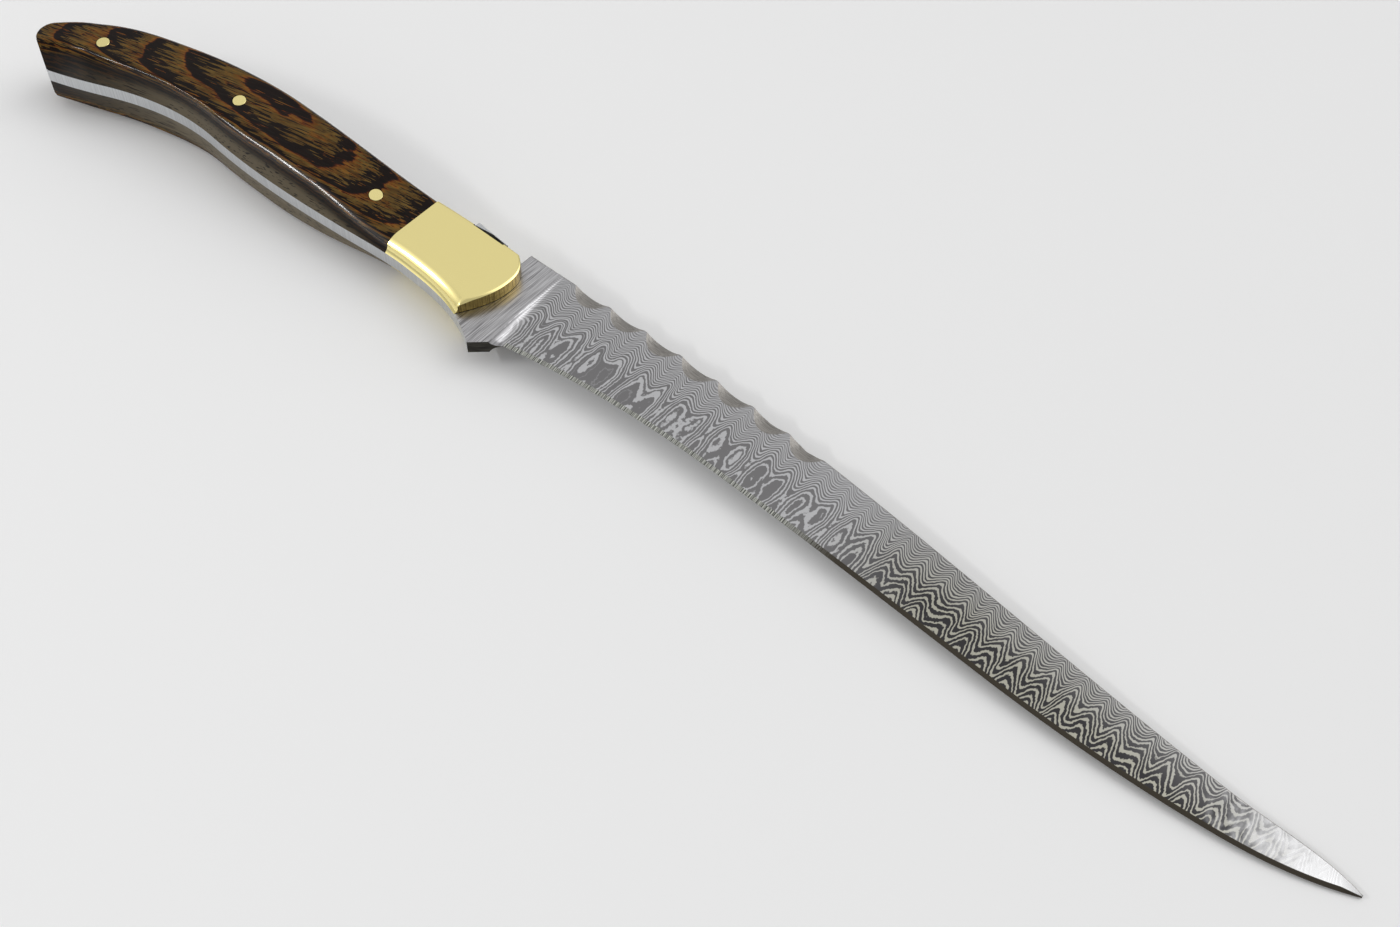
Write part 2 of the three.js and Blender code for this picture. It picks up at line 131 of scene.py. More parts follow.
# Painted floor reflection on the flanks: where it fades in along the grip, and below the outer face on the
# near and far flank
DULL_FADE = (-116.0, -86.0)
NEAR_DULL = (3.0, 4.8)
NEAR_DULLNESS = 0.75
FAR_DULL = (0.8, 1.6)

# Ladder pattern, in millimetres along the blade
RUNG_PLACE = 44.465
PAIR_PLACE = 47.145
FORE_HALF = (86.0, 116.0)
LAYERS_PER_MM = 1.75
# Where the cut turns level with the layers: height over the edge, softness, change of slope at heel and fore
LEVELS = ((9.2, 4.0, -1.4, 0.3), (5.0, 4.0, -0.55, 0.42))

# Studio, in metres: a lobe of the tent has a direction, cosines where it starts and is full, and a gain
TENT_LEVEL = 0.48
TENT_LOBES = (
    ((-0.38, 0.15, 0.91), 0.70, 0.95, 0.26),
    ((0.35, 0.46, 0.816), 0.885, 0.975, 1.0),
    ((0.45, 0.70, 0.55), 0.82, 0.96, 0.9),
    ((-0.52, -0.65, 0.56), 0.90, 0.99, 0.5),
)
STRIP_TOWARDS = (-0.53, -0.62, 0.58)
STRIP_DISTANCE = 1.2
STRIP_SIZE = (0.3, 0.012)
STRIP_POWER = 2.0
FLOOR_HALF = 6
CAMERA_PLACE = (0.1769, -0.16574, 0.35235)
CAMERA_RIGHT = (0.7325, 0.6807, 0.0)
CAMERA_BACK = (0.3787, -0.4075, 0.8310)
SENSOR_WIDTH = 36

# Setting of a map-range node that eases in and out
SMOOTH = {"interpolation_type": "SMOOTHSTEP"}


def smooth_line(*knots):
    """A smooth line through knots, each a place, a value there and a slope there."""
    at, value, slope = (np.array(column, float) for column in zip(*knots))

    def line(x):
        x = np.asarray(x, float)
        i = np.clip(np.searchsorted(at, x, side="right") - 1, 0, len(at) - 2)
        run = at[i + 1] - at[i]
        t = np.clip((x - at[i]) / run, 0, 1)
        start = (1 + 2 * t) * (1 - t) ** 2 * value[i] + t * (1 - t) ** 2 * run * slope[i]
        end = t * t * (3 - 2 * t) * value[i + 1] + t * t * (t - 1) * run * slope[i + 1]
        before = np.minimum(x - at[0], 0) * slope[0]
        after = np.maximum(x - at[-1], 0) * slope[-1]
        return start + end + before + after

    return line


blade_spine = smooth_line((0, 0, 0.07), (66, 3.1, 0), (178, -1, -0.02), (BLADE_LENGTH, -1.55, -0.22))
blade_edge = smooth_line(
    (EDGE_X, -EDGE_DEPTH, 0.25), (64, -13.2, 0.025), (130.5, -12.75, 0), (180, -9.5, 0.14),
    (BLADE_LENGTH, -1.85, 0.5),
)
handle_spine = smooth_line(
    (BUTT, -27.2, 1), (-115, -19.4, 0.62), (-94.8, -11.7, 0.29), (-62.1, -6, 0.03), (JOINT, -3.55, 0.1),
    (0, -NOTCH_DEPTH, 0.02),
)
handle_belly = smooth_line(
    (BUTT, -38.4, 0.25), (-105, -30.8, 0.48), (-75.1, -24, -0.05), (-35.1, -21.9, 0.12), (-17, -20.1, 0),
    (HEEL_X, -HEEL_DEPTH, -0.62),
)
outer_rise = smooth_line((BUTT, 4.7, 0.06), (-84.1, 6.6, 0), (-58.1, 6.6, 0), (JOINT, BOLSTER_RISE, -0.1))
near_inset = smooth_line(
    (BUTT, 4.2, 0), (-110, 4.2, -0.25), (-80.1, 1.6, 0), (-47.1, 2.6, 0), (JOINT, BOLSTER_INSET, 0))
far_inset = smooth_line(
    (BUTT, 0.1, 0), (-95, 0.1, 0), (-78, 0.7, 0), (-45, 0.5, 0), (JOINT, BOLSTER_INSET, 0))
ridge_roll = smooth_line((BUTT, 2.4, 0), (-86, 0.9, 0), (-60, 3.2, 0), (JOINT, BOLSTER_ROLL, 0))
spine_inset = smooth_line((JOINT, 1, 0), (0, 0.5, 0))
bolster_front = smooth_line((-21.8, -0.7, 0.6), (-10, 3.6, 0), (-3.3, 0, -1.6))
seat_height = smooth_line((PAD_REAR, -4.15, 0.0407), (PAD_FRONT, -3.8, 0.0407))


def outer_level(x):
    """Height of the grip's outer face over the middle of the tang."""
    return HALF_TANG + outer_rise(x)


def shoulder_in_frame():
    """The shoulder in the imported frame, read off a pin whose place on the knife is known."""
    low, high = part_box("scale_pin_front")
    centre = np.array((low + high) / 2) / MM
    return centre - np.array((*PIN_PLACES["scale_pin_front"], 0))


SHOULDER = shoulder_in_frame()


def in_frame(points):
    return (np.asarray(points, float) + SHOULDER) * MM


def on_knife(points):
    return np.asarray(points, float) / MM - SHOULDER


def blend(a, b, share):
    return a + (b - a) * share


def step_up(low, high, x):
    t = np.clip((np.asarray(x, float) - low) / (high - low), 0, 1)
    return t * t * (3 - 2 * t)


def mirrored(grid):
    return np.asarray(grid) * (1, 1, -1)


def strip_across(edge):
    """Grid from an edge on the near side to the same edge on the far side."""
    return np.stack([edge, mirrored(edge)])


def section_ring(x, half):
    """Points round a section at X: the given half of it on the far side, then its mirror image."""
    return [(x, y, -z) for y, z in half] + [(x, y, z) for y, z in reversed(half)]


def grid_of(x, y, z):
    return np.stack(np.broadcast_arrays(x, y, z), axis=-1)


def linear(hex_colour):
    """Linear RGBA of an sRGB hex colour."""
    parts = [int(hex_colour[i:i + 2], 16) / 255 for i in (1, 3, 5)]
    return (*[c / 12.92 if c <= 0.04045 else ((c + 0.055) / 1.055) ** 2.4 for c in parts], 1)


def length_setting(name, description, metres):
    return FloatProperty(name=name, description=description, default=metres, unit="LENGTH")


def colour_setting(name, description, hex_colour):
    colour = linear(hex_colour)[:3]
    return FloatVectorProperty(name=name, description=description, default=colour, subtype="COLOR")


class BladeSettings(bpy.types.PropertyGroup):
    scallop_count: IntProperty(name="Scallops", description="Filed scallops on the spine", default=7, min=1)
    scallop_start: length_setting("First scallop", "Shoulder to the middle of the first scallop", 0.01685)
    scallop_pitch: length_setting("Scallop pitch", "Distance between scallops", 0.0096)
    scallop_chord: length_setting("Scallop length", "Length of one scallop", 0.0089)
    scallop_depth: length_setting("Scallop depth", "Depth of one scallop", 0.0012)
    rung_pitch: length_setting("Rung pitch", "Distance between the rungs of the ladder pattern", 0.005375)
    light_layer: colour_setting("Light layer", "Colour of the nickel-rich layers", "#c8c8ca")
    dark_layer: colour_setting("Dark layer", "Colour of the etched carbon layers", "#828182")


class HandleSettings(bpy.types.PropertyGroup):
    pin_diameter: length_setting("Pin diameter", "Diameter of the scale pins", 0.003)
    pin_gap: length_setting("Pin gap", "Dark glue line round each pin", 0.00012)
    front_ease: length_setting("Bolster edge", "Width of the bolsters' eased front edge at the belly", 0.0019)
    brass: colour_setting("Brass", "Colour of the polished brass", "#fbeca4")
    dark_wood: colour_setting("Dark wood", "Late wood of the wenge", "#170b06")
    rim_wood: colour_setting("Rim wood", "Red-brown edges of the dark flames", "#7e4e1c")
    light_wood: colour_setting("Light wood", "Early wood of the wenge", "#685226")


class StageSettings(bpy.types.PropertyGroup):
    floor_colour: colour_setting("Floor", "Colour of the pale floor", "#f5f5f5")
    focal_length: FloatProperty(
        name="Focal length", description="Camera lens in millimetres",
        default=54.0, subtype="DISTANCE_CAMERA")


class KnifeSettings(bpy.types.PropertyGroup):
    blade: PointerProperty(type=BladeSettings)
    handle: PointerProperty(type=HandleSettings)
    stage: PointerProperty(type=StageSettings)


def add_node(tree, kind, inputs=None, stops=(), **settings):
    """One shader node: its settings, ramp stops, and inputs as values, nodes or sockets to link from."""
    node = tree.nodes.new("ShaderNode" + kind)
    for name, value in settings.items():
        setattr(node, name, value)
    for i, (at, colour) in enumerate(stops):
        ramp = node.color_ramp.elements
        stop = ramp[i] if i < 2 else ramp.new(at)
        stop.position = at
        stop.color = colour
    for key, value in (inputs or {}).items():
        if isinstance(value, bpy.types.Node):
            value = next(socket for socket in value.outputs if socket.enabled)
        if isinstance(value, bpy.types.NodeSocket):
            tree.links.new(value, node.inputs[key])
        else:
            node.inputs[key].default_value = value
    return node


def new_material(name):
    """An empty material and the function that adds nodes to it."""
    material = bpy.data.materials.new(name)
    material.use_nodes = True
    material.node_tree.nodes.clear()
    return material, partial(add_node, material.node_tree)


def stretched_noise(node, place, size, detail, turn=0.0, **inputs):
    """Noise whose grains have the given size along X, Y and Z, turned about Z."""
    grains = node("Mapping", {
        "Vector": place, "Rotation": (0, 0, turn), "Scale": size}, vector_type="TEXTURE")
    return node("TexNoise", {"Vector": grains, "Scale": 1.0, "Detail": detail, **inputs})


def polished_brass(settings):
    """Buffed yellow brass: a pale gold mirror with faint hairlines from the buffing wheel."""
    material, node = new_material("polished_brass")
    place = node("TexCoord").outputs["Object"]
    # Hairlines 12 mm long and 0.3 mm wide, coarser than life so that they show, over clouds of 9 mm
    scratch = stretched_noise(node, place, (0.012, 0.0003, 0.0003), 3.0)
    cloud = node("TexNoise", {"Vector": place, "Scale": 1 / 0.009, "Detail": 2.0})
    rough = node("MapRange", {"Value": cloud, "To Min": 0.1, "To Max": 0.22})
    bump = node("Bump", {"Height": scratch, "Strength": 0.05, "Distance": 0.00002})
    shader = node("BsdfPrincipled", {
        "Base Color": (*settings.brass, 1), "Metallic": 1.0, "Roughness": rough, "Normal": bump})
    node("OutputMaterial", {"Surface": shader})
    return material


def lacquered_wenge(settings):
    """Flat-sawn wenge under clear lacquer: each ring goes from tan early wood, feathered along the grain, to
    near-black late wood with a sharp red-brown rim, and dark pores run through it."""
    material, node = new_material("lacquered_wenge")
    place = node("TexCoord").outputs["Object"]
    on_handle = node("Mapping", {
        "Vector": place, "Location": tuple(-SHOULDER), "Scale": (1 / MM, 1 / MM, 1 / MM)})
    at = node("SeparateXYZ", {0: on_handle}).outputs
    depth = node("Attribute", attribute_name="depth").outputs["Fac"]
    # Rings: long ovals about the middle of the grip, closer together outwards; their axis droops to the butt
    along = node("Math", {0: at[0], 1: RING_CENTRE[0]}, operation="SUBTRACT")
    behind = node("Math", {0: along, 1: 0.0}, operation="MINIMUM")
    droop = node("Math", {0: behind, 1: behind}, operation="MULTIPLY")
    axis = node("Math", {0: droop, 1: -RING_DROOP, 2: RING_CENTRE[1]}, operation="MULTIPLY_ADD")
    across = node("Math", {0: at[1], 1: axis}, operation="SUBTRACT")
    wide = node("Math", {0: across, 1: RING_ASPECT}, operation="MULTIPLY")
    plan = node("CombineXYZ", {0: along, 1: wide})
    reach = node("VectorMath", {0: plan}, operation="LENGTH")
    steeper = node("Math", {0: reach, 1: RING_CROWDING, 2: RINGS_PER_MM}, operation="MULTIPLY_ADD")
    even = node("Math", {0: steeper, 1: reach}, operation="MULTIPLY")
    # Drift: the rings wander over centimetres and have bays a few millimetres wide
    wander = node("TexNoise", {"Vector": place, "Scale": 1 / 0.02, "Detail": 0.0})
    bays = stretched_noise(node, place, (0.007, 0.004, 0.05), 1.0)
    wandered = node("Math", {0: wander, 1: 0.7, 2: even}, operation="MULTIPLY_ADD")
    bayed = node("Math", {0: bays, 1: 0.55, 2: wandered}, operation="MULTIPLY_ADD")
    # The board is flat-sawn: a ring is so thin that the flank cuts it into stripes along the grip
    sunk = node("Math", {0: depth, 1: 1 / RING_THICKNESS, 2: bayed}, operation="MULTIPLY_ADD")
    # Teeth: the early wood is feathered along the grain, most in the middle of its ring
    streak = stretched_noise(node, place, (0.008, 0.00055, 0.0006), 2.5, GRAIN_TURN, Roughness=0.6)
    plain_share = node("Math", {0: sunk}, operation="FRACT")
    off_middle = node("Math", {0: plain_share, 1: 0.48}, operation="SUBTRACT")
    from_middle = node("Math", {0: off_middle}, operation="ABSOLUTE")
    feather = node("MapRange", {
        "Value": from_middle, "From Min": 0.2, "From Max": 0.46, "To Min": 2.5, "To Max": 0.2})
    tooth = node("Math", {0: streak, 1: 0.5}, operation="SUBTRACT")
    jag = node("Math", {0: tooth, 1: feather, 2: sunk}, operation="MULTIPLY_ADD")
    share = node("Math", {0: jag}, operation="FRACT")
    dark, rim, light = (*settings.dark_wood, 1), (*settings.rim_wood, 1), (*settings.light_wood, 1)
    wood = node("ValToRGB", {"Fac": share}, stops=(
        (0.0, rim), (1.0, linear("#70380f")), (0.07, linear("#80591f")), (0.15, light), (0.45, light),
        (0.475, linear("#3a2c1a")), (0.5, dark), (0.95, dark), (0.98, linear("#3c1a0c"))))
    shade = stretched_noise(node, place, (0.006, 0.0009, 0.0005), 3.0, GRAIN_TURN, Roughness=0.65)
    tone = node("ValToRGB", {"Fac": shade}, stops=((0.32, linear("#a98f74")), (0.68, linear("#ffffff"))))
    toned = node("Mix", {"Factor": 1.0, "A": wood, "B": tone}, data_type="RGBA", blend_type="MULTIPLY")
    # Flanks: painted shade darkens them below the ridge, where they face away from the light, and a painted
    # reflection of the floor turns them grey-brown low down on the near flank and all over on the far flank
    side = node("MapRange", {"Value": depth, "From Min": 1.3, "From Max": 2.4})
    soaked = node("Mix", {
        "Factor": side, "A": toned, "B": linear("#7a7069")}, data_type="RGBA", blend_type="MULTIPLY")
    dull = node("Attribute", attribute_name="dull").outputs["Fac"]
    dusted = node("Mix", {"Factor": dull, "A": soaked, "B": linear("#6b614e")}, data_type="RGBA")
    # Pores: slits 3 to 8 mm long and about 0.2 mm wide, drawn a little wider than life so that they show
    pore = stretched_noise(node, place, (0.005, 0.0003, 0.0003), 1.0, GRAIN_TURN)
    open_pore = node("MapRange", {"Value": pore, "From Min": 0.58, "From Max": 0.7}, **SMOOTH)
    colour = node("Mix", {"Factor": open_pore, "A": dusted, "B": linear("#17110d")}, data_type="RGBA")
    bump = node("Bump", {"Height": open_pore, "Strength": 0.03, "Distance": 0.00003}, invert=True)
    # Lacquer: thin on the face, gone on the flanks, and thick where the ridge was buffed, towards the blade
    gloss = node("MapRange", {"Value": side, "To Min": 0.12, "To Max": 0.4})
    crest = node("MapRange", {
        "Value": at[0], "From Min": -92.0, "From Max": -50.0, "To Min": 0.14, "To Max": 0.5})
    buffed = node("MapRange", {
        "Value": depth, "From Min": 0.4, "From Max": 1.1, "To Min": 0.14, "To Max": crest})
    film = node("Mix", {"Factor": side, "A": buffed, "B": 0.2}, data_type="FLOAT")
    shader = node("BsdfPrincipled", {
        "Base Color": colour, "Roughness": gloss, "Normal": bump, "Specular IOR Level": film})
    node("OutputMaterial", {"Surface": shader})
    return material


def ladder_steel(settings):
    """Etched pattern-welded steel: satin grey layers, raised under each rung before grinding, so that the
    grind cuts them into fine festoons near the spine and closed ovals near the edge."""
    material, node = new_material("ladder_pattern_steel")
    along, below, above, past = (
        node("Attribute", attribute_name=name).outputs["Fac"]
        for name in ("along", "below", "above_edge", "past_plunge"))
    flat = node("CombineXYZ", {0: along, 1: below})
    fore = node("MapRange", {"Value": along, "From Min": FORE_HALF[0], "From Max": FORE_HALF[1]}, **SMOOTH)
    drift = stretched_noise(node, flat, (9, 9, 1), 0.0)
    drifts = node("SeparateColor", {0: drift.outputs["Color"]}).outputs
    # Rungs: one wave per pitch, round below the spine and pointed further down
    turn = 2 * math.pi / (settings.rung_pitch / MM)
    swayed = node("Math", {0: drifts[0], 1: 1.35, 2: along}, operation="MULTIPLY_ADD")
    phase = node("Math", {0: swayed, 1: turn, 2: -RUNG_PLACE * turn}, operation="MULTIPLY_ADD")
    turns = [node("Math", {0: phase, 1: times}, operation="MULTIPLY") for times in (1.0, 2.0, 3.0)]
    wave, second, third = (node("Math", {0: angle}, operation="COSINE") for angle in turns)
    middle = node("MapRange", {"Value": below, "From Min": 2.0, "From Max": 7.0}, **SMOOTH)
    bend = node("Math", {0: middle, 1: -0.22, 2: 0.17}, operation="MULTIPLY_ADD")
    point = node("Math", {0: middle, 1: 0.04}, operation="MULTIPLY")
    bent = node("Math", {0: second, 1: bend, 2: wave}, operation="MULTIPLY_ADD")
    rung = node("Math", {0: third, 1: point, 2: bent}, operation="MULTIPLY_ADD")
    # Height of the rungs, in layers: less near the edge, and no two rungs alike
    lower = node("MapRange", {"Value": above, "From Min": 10.5, "From Max": 7.0}, **SMOOTH)
    unlike = stretched_noise(node, flat, (5.4, 20, 1), 0.0)
    swing = node("Math", {0: unlike, 1: 1.7, 2: 0.15}, operation="MULTIPLY_ADD")
    drop = node("Math", {0: fore, 1: 0.3, 2: -1.1}, operation="MULTIPLY_ADD")
    lift = node("Math", {0: drop, 1: lower, 2: 1.8}, operation="MULTIPLY_ADD")
    swing_lift = node("Math", {0: swing, 1: lift}, operation="MULTIPLY")
    # Layers that the grind has cut through: close together at the spine, and almost level towards the edge
    layer = node("Math", {0: below, 1: LAYERS_PER_MM}, operation="MULTIPLY")
    for height, soft, heel_share, fore_share in LEVELS:
        past_level = node("Math", {0: height, 1: above}, operation="SUBTRACT")
        level = node("Math", {0: past_level, 1: 0.0, 2: soft}, operation="SMOOTH_MAX")
        flatter = node("Math", {0: fore, 1: fore_share, 2: heel_share}, operation="MULTIPLY_ADD")
        layer = node("Math", {0: level, 1: flatter, 2: layer}, operation="MULTIPLY_ADD")
    # Necks: the heel half was struck with a double tool, so that its rungs stand in pairs
    pair_phase = node("Math", {0: swayed, 1: turn / 2, 2: -PAIR_PLACE * turn / 2}, operation="MULTIPLY_ADD")
    pair = node("Math", {0: pair_phase}, operation="COSINE")
    between = node("MapRange", {"Value": pair, "From Min": -1.0})
    neck = node("Math", {0: between, 1: 3.0}, operation="POWER")
    deep = node("MapRange", {"Value": above, "From Min": 11.5, "From Max": 7.5}, **SMOOTH)
    strike = node("Math", {0: fore, 1: 1.9, 2: -2.2}, operation="MULTIPLY_ADD")
    struck = node("Math", {0: strike, 1: deep}, operation="MULTIPLY")
    waved = node("Math", {0: rung, 1: swing_lift, 2: layer}, operation="MULTIPLY_ADD")
    necked = node("Math", {0: neck, 1: struck, 2: waved}, operation="MULTIPLY_ADD")
    grouped = node("Math", {0: drifts[1], 1: 3.0, 2: necked}, operation="MULTIPLY_ADD")
    wobble = stretched_noise(node, flat, (1.8, 2.6, 1), 2.0)
    bumpy = node("Math", {0: wobble, 1: 1.3, 2: grouped}, operation="MULTIPLY_ADD")
    # Ragged borders where the cut runs almost level with the layers
    ragged = stretched_noise(node, flat, (0.4, 0.55, 1), 1.0)
    nibbled = node("Math", {0: lower, 1: 0.4}, operation="MULTIPLY")
    order = node("Math", {0: ragged, 1: nibbled, 2: bumpy}, operation="MULTIPLY_ADD")
    # Light layers: one line to each layer, of uneven width, thinner towards the edge
    beat = node("Math", {0: order, 1: 2 * math.pi}, operation="MULTIPLY")
    border = node("Math", {0: beat}, operation="SINE")
    uneven = node("TexNoise", {"W": order, "Scale": 0.8, "Detail": 0.0}, noise_dimensions="1D")
    tone = node("Math", {0: uneven, 1: 1.8, 2: border}, operation="MULTIPLY_ADD")
    gate = node("MapRange", {"Value": lower, "To Min": 0.65, "To Max": 0.88})
    gate_top = node("Math", {0: gate, 1: 0.7}, operation="ADD")
    line = node("MapRange", {"Value": tone, "From Min": gate, "From Max": gate_top}, **SMOOTH)
    # Contrast: weak under the spine in the heel half; in the fore half cream lines on a deeper etch
    low = node("MapRange", {"Value": below, "From Min": 0.5, "From Max": 4.5})
    weak = node("MapRange", {"Value": fore, "To Min": 0.6, "To Max": 1.0})
    contrast = node("MapRange", {"Value": low, "To Min": weak, "To Max": 1.0})
    ground_tone = node("MapRange", {"Value": fore, "To Min": 0.8, "To Max": 0.42})
    soft_line = node("Mix", {"Factor": contrast, "A": ground_tone, "B": line}, data_type="FLOAT")
    cream = node("MapRange", {"Value": below, "From Min": -4.0, "From Max": 8.0, "To Max": fore})
    light = node("Mix", {
        "Factor": cream, "A": (*settings.light_layer, 1), "B": linear("#b8b6a9")}, data_type="RGBA")
    deeper = node("MapRange", {"Value": below, "From Min": -3.0, "From Max": 8.0, "To Max": fore})
    dark = node("Mix", {
        "Factor": deeper, "A": (*settings.dark_layer, 1), "B": linear("#414042")}, data_type="RGBA")
    pattern = node("Mix", {"Factor": soft_line, "A": dark, "B": light}, data_type="RGBA")
    # Ricasso: left as forged and drawn out by the grinding belt, so it shows streaks along the plunge
    streak = stretched_noise(node, flat, (0.2, 9, 1), 3.0, Distortion=0.3)
    bar = node("ValToRGB", {"Fac": streak}, stops=(
        (0.3, linear("#747375")), (0.72, linear("#dadadc")), (0.48, linear("#b5b4b6"))))
    ground = node("MapRange", {"Value": past, "From Min": 0.6, "From Max": 2.6})
    etched = node("Mix", {"Factor": ground, "A": bar, "B": pattern}, data_type="RGBA")
    # Point: glossier, and a painted highlight makes it near white where it reflects the bright light, so that
    # the pattern fades out
    faded = node("Math", {0: wobble, 1: 24.0, 2: along}, operation="MULTIPLY_ADD")
    tip = node("MapRange", {"Value": faded, "From Min": 188.0, "From Max": 211.0}, **SMOOTH)
    colour = node("Mix", {"Factor": tip, "A": etched, "B": linear("#f0f0f1")}, data_type="RGBA")
    rough = node("MapRange", {"Value": soft_line, "To Min": 0.46, "To Max": 0.34})
    belt_polish = node("Mix", {"Factor": ground, "A": 0.3, "B": rough}, data_type="FLOAT")
    polish = node("Mix", {"Factor": tip, "A": belt_polish, "B": 0.2}, data_type="FLOAT")
    etch = node("Bump", {"Height": soft_line, "Strength": 0.12, "Distance": 0.00002})
    shader = node("BsdfPrincipled", {
        "Base Color": colour, "Metallic": 1.0, "Roughness": polish, "Normal": etch})
    node("OutputMaterial", {"Surface": shader})
    return material


def worked_metal(name, dark, light, marks, roughness):
    """Metal with one tool's marks: lines of two tones, with their lengths along X, Y and Z in millimetres."""
    material, node = new_material(name)
    place = node("TexCoord").outputs["Object"]
    mark = stretched_noise(node, place, [length * MM for length in marks], 2.0)
    tone = node("ValToRGB", {"Fac": mark}, stops=((0.33, linear(dark)), (0.67, linear(light))))
    cut = node("Bump", {"Height": mark, "Strength": 0.2, "Distance": 0.00001})
    shader = node("BsdfPrincipled", {
        "Base Color": tone, "Metallic": 1.0, "Roughness": roughness, "Normal": cut})
    node("OutputMaterial", {"Surface": shader})
    return material


def filed_steel():
    """Scallops filed along the spine: brown-grey facets with fine lines that follow the file."""
    return worked_metal("hand_filed_steel", "#8a8783", "#b2aea9", (14, 0.16, 0.16), 0.38)


def ground_steel():
    """Edge of the tang, ground on a belt with the scales on: a pale satin strip with lines across it."""
    return worked_metal("belt_ground_steel", "#bcbec0", "#d4d6d8", (0.12, 30, 30), 0.34)


def etched_end_steel():
    """End grain of the heel, left dark by the etch, and the painted shade low on the thumb pad's sides:
    almost black, with faint lines of the layers.
    """
    return worked_metal("etched_end_steel", "#24231f", "#45433d", (3, 3, 0.35), 0.45)


def filed_brass():
    """Front wall of a bolster, filed across and not buffed, with upright file marks; its brass is drawn
    darker as painted shade, where the wall reflects the shaded blade in front of it.
    """
    return worked_metal("hand_filed_brass", "#7d6836", "#c7ae64", (3, 0.16, 6), 0.27)


def tarnished_brass():
    """Painted shade on brass, in the pad's pocket and at the foot of the front wall: dark brown."""
    return worked_metal("tarnished_brass", "#1c1810", "#3a3220", (2, 2, 2), 0.6)


def honed_steel():
    """Cutting bevel set on a coarse stone: scratches across it like a bar code, pale at the heel, and dark
    where the bevel leans away from the light towards the tip."""
    material, node = new_material("stone_honed_steel")
    along = node("Attribute", attribute_name="along").outputs["Fac"]
    # Scratches about 0.28 mm apart, coarser than the stone's grit so that they show
    scratch = node("TexNoise", {
        "W": along, "Scale": 1 / 0.28, "Detail": 2.0, "Roughness": 0.6}, noise_dimensions="1D")
    bars = node("ValToRGB", {"Fac": scratch}, stops=(
        (0.38, linear("#4c4d4a")), (0.62, linear("#d0d1ca")), (0.5, linear("#9a9b95"))))
    away = node("MapRange", {"Value": along, "From Min": 80.0, "From Max": 96.0}, **SMOOTH)
    colour = node("Mix", {"Factor": away, "A": bars, "B": linear("#4a453d")}, data_type="RGBA")
    shader = node("BsdfPrincipled", {"Base Color": colour, "Metallic": 1.0, "Roughness": 0.32})
    node("OutputMaterial", {"Surface": shader})
    return material


def pale_floor(settings):
    """Smooth white cloth, drawn plain: matt and evenly pale."""
    material, node = new_material("pale_floor")
    shader = node("BsdfPrincipled", {
        "Base Color": (*settings.floor_colour, 1), "Roughness": 0.9, "Specular IOR Level": 0.1})
    node("OutputMaterial", {"Surface": shader})
    return material


def weld(grids, polygons=()):
    """A closed mesh from grids of points, each with the number of its finish, welded along their borders."""
    shape = bmesh.new()
    for points, finish in grids:
        rows = [[shape.verts.new(point) for point in row] for row in in_frame(points)]
        for upper, lower in zip(rows, rows[1:]):
            for i in range(len(upper) - 1):
                face = shape.faces.new((upper[i], upper[i + 1], lower[i + 1], lower[i]))
                face.material_index = finish
    for points, finish in polygons:
        face = shape.faces.new([shape.verts.new(point) for point in in_frame(points)])
        face.material_index = finish
    bmesh.ops.remove_doubles(shape, verts=shape.verts, dist=WELD * MM)
    bmesh.ops.dissolve_degenerate(shape, edges=shape.edges, dist=WELD * MM / 4)
    bmesh.ops.recalc_face_normals(shape, faces=shape.faces)
    return shape


def piece_from(shape, name, materials):
    """An object of the scene from a mesh in making, with its sharp edges left sharp."""
    mesh = bpy.data.meshes.new(name)
    shape.to_mesh(mesh)
    shape.free()
    for material in materials:
        mesh.materials.append(material)
    mesh.shade_smooth()
    mesh.set_sharp_from_angle(angle=SHARP)
    piece = bpy.data.objects.new(name, mesh)
    bpy.context.scene.collection.objects.link(piece)
    return piece


def mark_points(mesh, marks):
    """Gives each point of a mesh the numbers that a function of its place on the knife works out."""
    place = np.empty(len(mesh.vertices) * 3)
    mesh.vertices.foreach_get("co", place)
    for name, value in marks(*on_knife(place.reshape(-1, 3)).T).items():
        mark = mesh.attributes.new(name, "FLOAT", "POINT")
        mark.data.foreach_set("value", value.astype(np.float32))


def combine(piece, tool, operation):
    """Joins a tool solid to a piece or cuts it away with the tool's finish, and removes the tool."""
    change = piece.modifiers.new(operation, "BOOLEAN")
    change.operation = operation
    change.object = tool
    change.solver = "EXACT"
    change.material_mode = "TRANSFER"
    bpy.context.view_layer.update()
    result = piece.evaluated_get(bpy.context.evaluated_depsgraph_get())
    mesh = bpy.data.meshes.new_from_object(result)
    piece.modifiers.clear()
    old = piece.data
    piece.data = mesh
    mesh.name = piece.name
    bpy.data.meshes.remove(old)
    bpy.data.objects.remove(tool)
    mesh.set_sharp_from_angle(angle=SHARP)
    return piece


def finish_piece(piece, slot, *nodes):
    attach(piece, BODY)
    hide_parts(*nodes)


def blade_lower(x):
    """Lower outline ahead of the shoulder: rear of the heel, end of the heel, then the edge."""
    along = np.clip((x - HEEL_X) / (EDGE_X - HEEL_X), 0, 1)
    end = blend(-HEEL_DEPTH, -EDGE_DEPTH, along)
    return np.where(x <= HEEL_X, handle_belly(x), np.where(x >= EDGE_X, blade_edge(x), end))


def spine_half(x):
    return blend(HALF_TANG, HALF_TIP, np.asarray(x, float) / BLADE_LENGTH)


def past_plunge(x, y):
    spine = blade_spine(x)
    return x - RICASSO_LENGTH - PLUNGE_LEAN * (spine - y) / (spine - blade_lower(x))


def ground_half(x, y, flat):
    """Half the thickness after grinding: a round-edged wheel runs from the plunge to the tip."""
    past = np.clip(past_plunge(x, y), 0, PLUNGE_RADIUS)
    climb = PLUNGE_RADIUS - np.sqrt(PLUNGE_RADIUS ** 2 - (PLUNGE_RADIUS - past) ** 2)
    return np.where(past <= 0, HALF_TANG, np.minimum(HALF_TANG, flat + climb))


